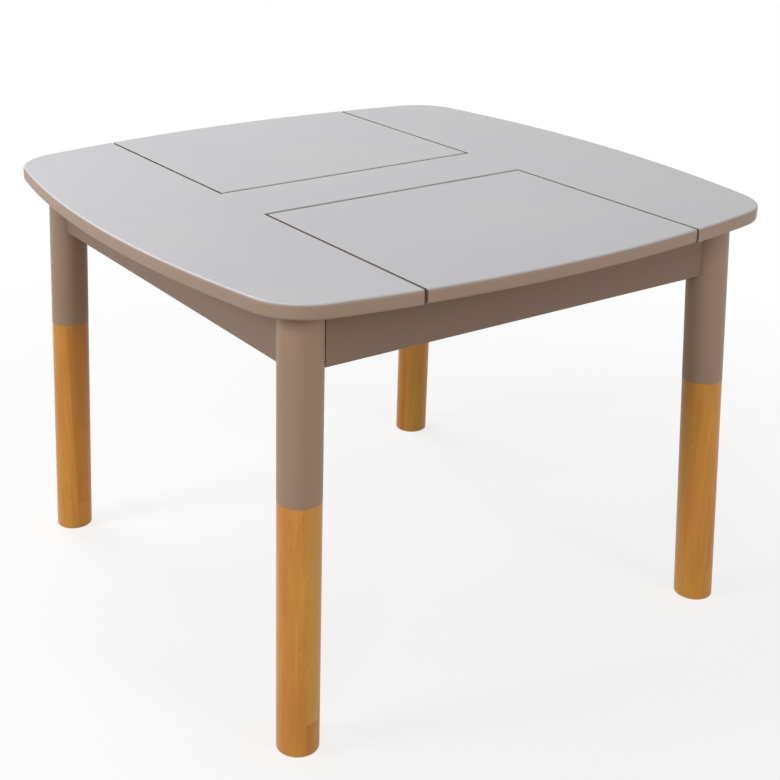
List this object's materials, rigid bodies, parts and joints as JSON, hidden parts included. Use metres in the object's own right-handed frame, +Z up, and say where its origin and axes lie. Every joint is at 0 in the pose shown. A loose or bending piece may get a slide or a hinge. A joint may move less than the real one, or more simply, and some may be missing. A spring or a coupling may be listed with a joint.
{
  "type": "play table with storage",
  "caption": "Square low play table with rounded corners, splayed round legs and two hinged lids over shallow storage compartments.",
  "frame": {"origin": "on the floor under the centre of the top", "axes": "+Z up; +X to the right along the centre bar; the front lid is towards -Y"},
  "size_m": [0.702, 0.702, 0.5],
  "materials": {
    "top_paint": "satin light grey lacquer on the faces, taupe on the rim",
    "frame_paint": "satin taupe paint",
    "leg_wood": "clear honey lacquer below, satin taupe paint above 288 mm",
    "inner_wood": "plain light plywood and softwood",
    "steel": "bright zinc",
    "nylon": "natural nylon",
    "felt": "grey felt"
  },
  "bodies": {
    "table": {"top_panel": "top_paint", "leg_front_left": "leg_wood", "leg_front_right": "leg_wood", "leg_back_left": "leg_wood", "leg_back_right": "leg_wood", "apron_front": "frame_paint", "apron_back": "frame_paint", "apron_left": "frame_paint", "apron_right": "frame_paint", "rail_left": "frame_paint", "rail_right": "frame_paint", "beam_front": "frame_paint", "beam_back": "frame_paint", "storage_floor": "inner_wood", "corner_block_front_left": "inner_wood", "corner_block_front_right": "inner_wood", "corner_block_back_left": "inner_wood", "corner_block_back_right": "inner_wood", "hanger_bolt_front_left": "steel", "hanger_bolt_front_right": "steel", "hanger_bolt_back_left": "steel", "hanger_bolt_back_right": "steel", "washer_front_left": "steel", "washer_front_right": "steel", "washer_back_left": "steel", "washer_back_right": "steel", "hex_nut_front_left": "steel", "hex_nut_front_right": "steel", "hex_nut_back_left": "steel", "hex_nut_back_right": "steel", "top_screw_front_left": "steel", "top_screw_front_right": "steel", "top_screw_back_left": "steel", "top_screw_back_right": "steel", "floor_screw_1": "steel", "floor_screw_2": "steel", "floor_screw_3": "steel", "floor_screw_4": "steel", "floor_screw_5": "steel", "floor_screw_6": "steel", "floor_screw_7": "steel", "floor_screw_8": "steel", "pivot_pin_front_left": "steel", "pivot_pin_front_right": "steel", "pivot_pin_back_left": "steel", "pivot_pin_back_right": "steel", "lid_pad_front_left": "felt", "lid_pad_front_right": "felt", "lid_pad_back_left": "felt", "lid_pad_back_right": "felt"},
    "front_lid": {"lid_front": "top_paint", "pivot_bush_front_left": "nylon", "pivot_bush_front_right": "nylon"},
    "back_lid": {"lid_back": "top_paint", "pivot_bush_back_left": "nylon", "pivot_bush_back_right": "nylon"}
  },
  "joints": [
    {"name": "front_lid_hinge", "type": "hinge", "parent": "table", "child": "front_lid", "pos_m": [0, -0.05645, 0.492], "axis": [-1, 0, 0], "range_deg": [0, 95]},
    {"name": "back_lid_hinge", "type": "hinge", "parent": "table", "child": "back_lid", "pos_m": [0, 0.05645, 0.492], "axis": [1, 0, 0], "range_deg": [0, 95]}
  ]
}
